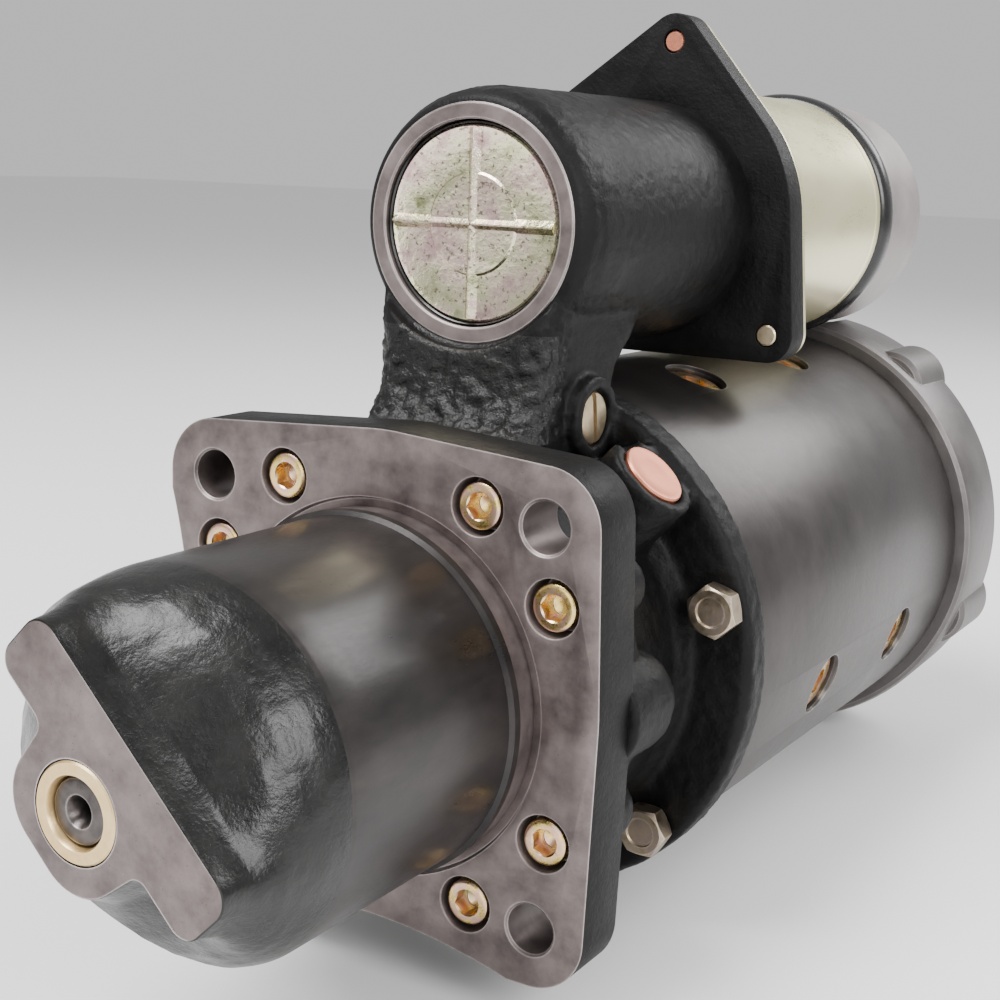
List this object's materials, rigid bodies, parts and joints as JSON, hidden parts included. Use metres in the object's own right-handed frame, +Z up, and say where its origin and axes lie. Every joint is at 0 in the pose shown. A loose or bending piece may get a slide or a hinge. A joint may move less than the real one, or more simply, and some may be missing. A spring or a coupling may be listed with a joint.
{
  "type": "starter motor",
  "caption": "Heavy-duty engine starter motor with a square nose flange, a shift-lever housing and a solenoid on top.",
  "frame": {"origin": "centre of the mounting register, on the front face of the flange", "axes": "+Y along the shaft towards the rear of the motor, +Z up through the solenoid, +X to the right seen from the pinion end"},
  "size_m": [0.154, 0.4078, 0.2522],
  "materials": {
    "machined_iron": "machined, bare",
    "black_iron": "rough, black enamel",
    "frame_paint": "satin grey",
    "bronze": "plain bearing bronze",
    "copper": "bare copper",
    "zinc": "yellow zinc plated",
    "steel": "machined steel",
    "rubber": "gloss black",
    "moulding": "grey moulding",
    "winding": "varnished copper",
    "carbon": "pressed carbon"
  },
  "bodies": {
    "housing": {"nose_housing": "machined_iron", "nose_bushing": "bronze", "socket_screw_1": "zinc", "socket_screw_2": "zinc", "socket_screw_3": "zinc", "socket_screw_4": "zinc", "socket_screw_5": "zinc", "socket_screw_6": "zinc", "socket_screw_7": "zinc", "socket_screw_8": "zinc", "lever_housing": "black_iron", "inspection_plug": "zinc", "plug_seal": "rubber", "core_plug": "copper", "lever_pivot_screw": "bronze", "center_bearing_plate": "machined_iron", "center_bushing": "bronze", "field_frame": "frame_paint", "pole_shoe_1": "steel", "pole_shoe_2": "steel", "pole_shoe_3": "steel", "pole_shoe_4": "steel", "field_coils": "winding", "pole_screw_1": "zinc", "pole_screw_2": "zinc", "pole_screw_3": "zinc", "pole_screw_4": "zinc", "frame_bolt_1": "zinc", "frame_bolt_2": "zinc", "frame_bolt_3": "zinc", "frame_bolt_4": "zinc", "frame_bolt_5": "zinc", "end_frame": "frame_paint", "end_bushing": "bronze", "end_bolt_1": "zinc", "end_bolt_2": "zinc", "end_bolt_3": "zinc", "end_bolt_4": "zinc", "brush_holder": "steel", "brush_1": "carbon", "brush_2": "carbon", "brush_3": "carbon", "brush_4": "carbon", "solenoid_case": "zinc", "solenoid_winding": "winding", "solenoid_core": "steel", "solenoid_gasket": "rubber", "solenoid_cap": "moulding", "battery_stud": "copper", "motor_stud": "copper", "return_spring": "steel"},
    "armature": {"armature_shaft": "steel", "armature_core": "winding", "commutator": "copper"},
    "clutch": {"clutch_shell": "steel"},
    "pinion": {"drive_pinion": "steel"},
    "collar": {"shift_collar": "steel"},
    "lever": {"shift_lever": "steel"},
    "plunger": {"solenoid_plunger": "steel"},
    "contact": {"contact_disc": "copper"}
  },
  "joints": [
    {"name": "armature_spin", "type": "hinge", "parent": "housing", "child": "armature", "pos_m": [0, 0, 0], "axis": [0, 1, 0], "continuous": true},
    {"name": "drive_slide", "type": "slide", "parent": "armature", "child": "clutch", "axis": [0, -1, 0], "range_m": [0, 0.03]},
    {"name": "pinion_freewheel", "type": "hinge", "parent": "clutch", "child": "pinion", "pos_m": [0, 0, 0], "axis": [0, 1, 0], "continuous": true},
    {"name": "collar_slide", "type": "slide", "parent": "housing", "child": "collar", "axis": [0, -1, 0], "range_m": [0, 0.03]},
    {"name": "lever_swing", "type": "hinge", "parent": "housing", "child": "lever", "pos_m": [0, 0.055, 0.0655], "axis": [-1, 0, 0], "range_deg": [0, 26.82]},
    {"name": "plunger_slide", "type": "slide", "parent": "housing", "child": "plunger", "axis": [0, 1, 0], "range_m": [0, 0.02249], "stiffness_N_per_m": 1500, "springref_m": -0.012, "deforming": ["return_spring"]},
    {"name": "contact_slide", "type": "slide", "parent": "housing", "child": "contact", "axis": [0, 1, 0], "range_m": [0, 0.005]}
  ],
  "couplings": [
    {"joint": "collar_slide", "follows": "drive_slide", "ratio": 1},
    {"joint": "lever_swing", "follows": "drive_slide", "rad_per_m": 15.601},
    {"joint": "plunger_slide", "follows": "drive_slide", "ratio": 0.7496},
    {"joint": "contact_slide", "follows": "drive_slide", "ratio": 0.16667}
  ]
}
